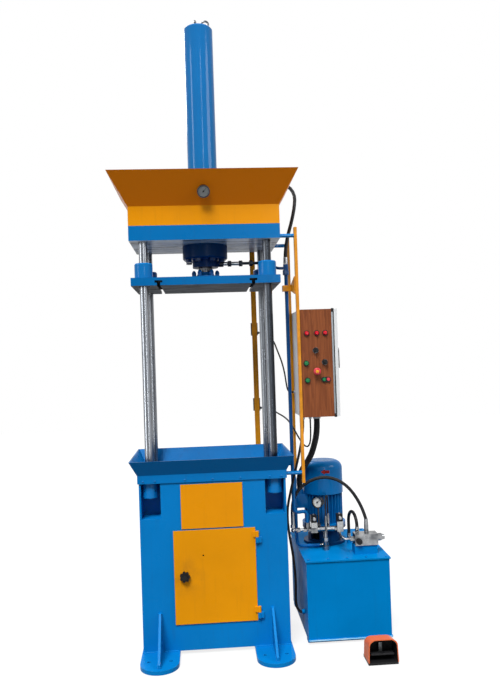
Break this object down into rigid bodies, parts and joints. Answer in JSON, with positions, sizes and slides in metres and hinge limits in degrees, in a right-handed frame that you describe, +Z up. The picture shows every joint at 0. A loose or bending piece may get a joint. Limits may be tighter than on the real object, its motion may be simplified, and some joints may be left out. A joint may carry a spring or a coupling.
{
  "type": "four-column hydraulic press",
  "caption": "Upright hydraulic press with guided ram, tall cylinder, base cabinet, oil tray, flared collar, power pack, control box and foot switch.",
  "frame": {"origin": "on the floor under the ram axis, at the centre of the anchor holes", "axes": "+Z up, operator at -Y, power pack at +X"},
  "size_m": [1.419, 0.941, 3.404],
  "materials": {
    "blue_paint": "gloss enamel",
    "dark_blue_paint": "gloss enamel",
    "yellow_paint": "gloss enamel",
    "grey_paint": "powder coat",
    "orange_paint": "satin enamel",
    "hard_chrome": "ground and plated",
    "bolt_steel": "bright zinc",
    "zinc_steel": "bright zinc",
    "gauge_steel": "polished",
    "cast_housing": "as cast",
    "wood_laminate": "wood-grain film",
    "black_plastic": "moulded",
    "needle_black": "moulded",
    "green_plastic": "moulded",
    "red_plastic": "moulded",
    "red_lens": "clear moulded",
    "hose_rubber": "smooth cover",
    "conduit_plastic": "corrugated",
    "cable_rubber": "smooth sheath"
  },
  "bodies": {
    "machine": {"base_cabinet": "blue_paint", "anchor_feet": "blue_paint", "bed_plate": "blue_paint", "oil_tray": "blue_paint", "frame_screws": "bolt_steel", "cover_plate": "yellow_paint", "columns": "hard_chrome", "column_nuts": "blue_paint", "crown_plate": "blue_paint", "crown_collar": "yellow_paint", "cylinder_barrel": "blue_paint", "cylinder_flange": "dark_blue_paint", "gland_head": "dark_blue_paint", "gauge_cases": "gauge_steel", "support_posts": "yellow_paint", "standoff_bars": "blue_paint", "oil_pipes": "blue_paint", "box_shell": "grey_paint", "box_front_panel": "wood_laminate", "switchgear_plate": "grey_paint", "pilot_lamps": "red_lens", "button_collars": "black_plastic", "oil_tank": "blue_paint", "tank_lid": "blue_paint", "bell_housing": "dark_blue_paint", "motor_body": "blue_paint", "motor_cowl": "blue_paint", "pump": "cast_housing", "valve_manifold": "zinc_steel", "solenoid_valves": "zinc_steel", "relief_block": "zinc_steel", "arch_hose": "hose_rubber", "gauge_hose": "hose_rubber", "return_hose": "hose_rubber", "cylinder_hose": "hose_rubber", "control_conduit": "conduit_plastic", "limit_cable_upper": "cable_rubber", "limit_cable_lower": "cable_rubber", "level_cable": "cable_rubber", "pedal_base": "black_plastic", "pedal_hood": "orange_paint"},
    "ram": {"piston_rod": "hard_chrome", "moving_platen": "blue_paint", "guide_bushings": "blue_paint"},
    "cabinet_door": {"cabinet_door": "yellow_paint"},
    "latch_knob": {"latch_knob": "black_plastic"},
    "box_door": {"box_door": "grey_paint"},
    "box_handle": {"box_handle": "black_plastic"},
    "selector_upper": {"selector_upper": "black_plastic"},
    "selector_lower": {"selector_lower": "black_plastic"},
    "start_button": {"start_button": "green_plastic"},
    "return_button": {"return_button": "green_plastic"},
    "emergency_stop": {"emergency_stop": "red_plastic"},
    "twin_start": {"twin_start": "green_plastic"},
    "twin_stop": {"twin_stop": "red_plastic"},
    "top_gauge_needle": {"top_gauge_needle": "needle_black"},
    "pack_gauge_needle": {"pack_gauge_needle": "needle_black"},
    "motor_rotor": {"motor_rotor": "bolt_steel"},
    "relief_knob": {"relief_knob": "black_plastic"},
    "pedal_treadle": {"pedal_treadle": "black_plastic"}
  },
  "joints": [
    {"name": "ram_slide", "type": "slide", "parent": "machine", "child": "ram", "axis": [0, 0, -1], "range_m": [0, 0.9]},
    {"name": "cabinet_door_swing", "type": "hinge", "parent": "machine", "child": "cabinet_door", "pos_m": [0.2215, -0.238, 0.4], "axis": [0, 0, 1], "range_deg": [0, 110]},
    {"name": "latch_turn", "type": "hinge", "parent": "cabinet_door", "child": "latch_knob", "pos_m": [-0.158, -0.234, 0.401], "axis": [0, -1, 0], "range_deg": [0, 90]},
    {"name": "box_door_swing", "type": "hinge", "parent": "machine", "child": "box_door", "pos_m": [0.674, 0.156, 1.476], "axis": [0, 0, 1], "range_deg": [0, 110]},
    {"name": "box_handle_turn", "type": "hinge", "parent": "box_door", "child": "box_handle", "pos_m": [0.6845, -0.185, 1.542], "axis": [1, 0, 0], "range_deg": [0, 90]},
    {"name": "selector_upper_turn", "type": "hinge", "parent": "machine", "child": "selector_upper", "pos_m": [0.5635, -0.218, 1.543], "axis": [0, -1, 0], "range_deg": [0, 90]},
    {"name": "selector_lower_turn", "type": "hinge", "parent": "machine", "child": "selector_lower", "pos_m": [0.6095, -0.218, 1.48], "axis": [0, -1, 0], "range_deg": [0, 90]},
    {"name": "start_button_press", "type": "slide", "parent": "machine", "child": "start_button", "axis": [0, 1, 0], "range_m": [0, 0.004], "stiffness_N_per_m": 800, "springref_m": -0.002},
    {"name": "return_button_press", "type": "slide", "parent": "machine", "child": "return_button", "axis": [0, 1, 0], "range_m": [0, 0.004], "stiffness_N_per_m": 800, "springref_m": -0.002},
    {"name": "emergency_stop_press", "type": "slide", "parent": "machine", "child": "emergency_stop", "axis": [0, 1, 0], "range_m": [0, 0.004], "stiffness_N_per_m": 1200, "springref_m": -0.002},
    {"name": "twin_start_press", "type": "slide", "parent": "machine", "child": "twin_start", "axis": [0, 1, 0], "range_m": [0, 0.004], "stiffness_N_per_m": 800, "springref_m": -0.002},
    {"name": "twin_stop_press", "type": "slide", "parent": "machine", "child": "twin_stop", "axis": [0, 1, 0], "range_m": [0, 0.004], "stiffness_N_per_m": 800, "springref_m": -0.002},
    {"name": "top_gauge_turn", "type": "hinge", "parent": "machine", "child": "top_gauge_needle", "pos_m": [0, -0.26774, 2.38743], "axis": [0, -0.8679, -0.4967], "range_deg": [-90, 180], "stiffness_Nm_per_rad": 0.002},
    {"name": "pack_gauge_turn", "type": "hinge", "parent": "machine", "child": "pack_gauge_needle", "pos_m": [0.584, 0, 0.7], "axis": [-0.6157, -0.788, 0], "range_deg": [-90, 180], "stiffness_Nm_per_rad": 0.002},
    {"name": "motor_spin", "type": "hinge", "parent": "machine", "child": "motor_rotor", "pos_m": [0.645, 0.19, 0.6], "axis": [0, 0, 1], "continuous": true},
    {"name": "relief_turn", "type": "hinge", "parent": "machine", "child": "relief_knob", "pos_m": [0.779, -0.13, 0.506], "axis": [0, -1, 0], "range_deg": [-180, 180]},
    {"name": "treadle_press", "type": "hinge", "parent": "machine", "child": "pedal_treadle", "pos_m": [0.8, -0.414, 0.03], "axis": [1, 0, 0], "range_deg": [0, 15], "stiffness_Nm_per_rad": 4, "springref_deg": -11.46}
  ]
}
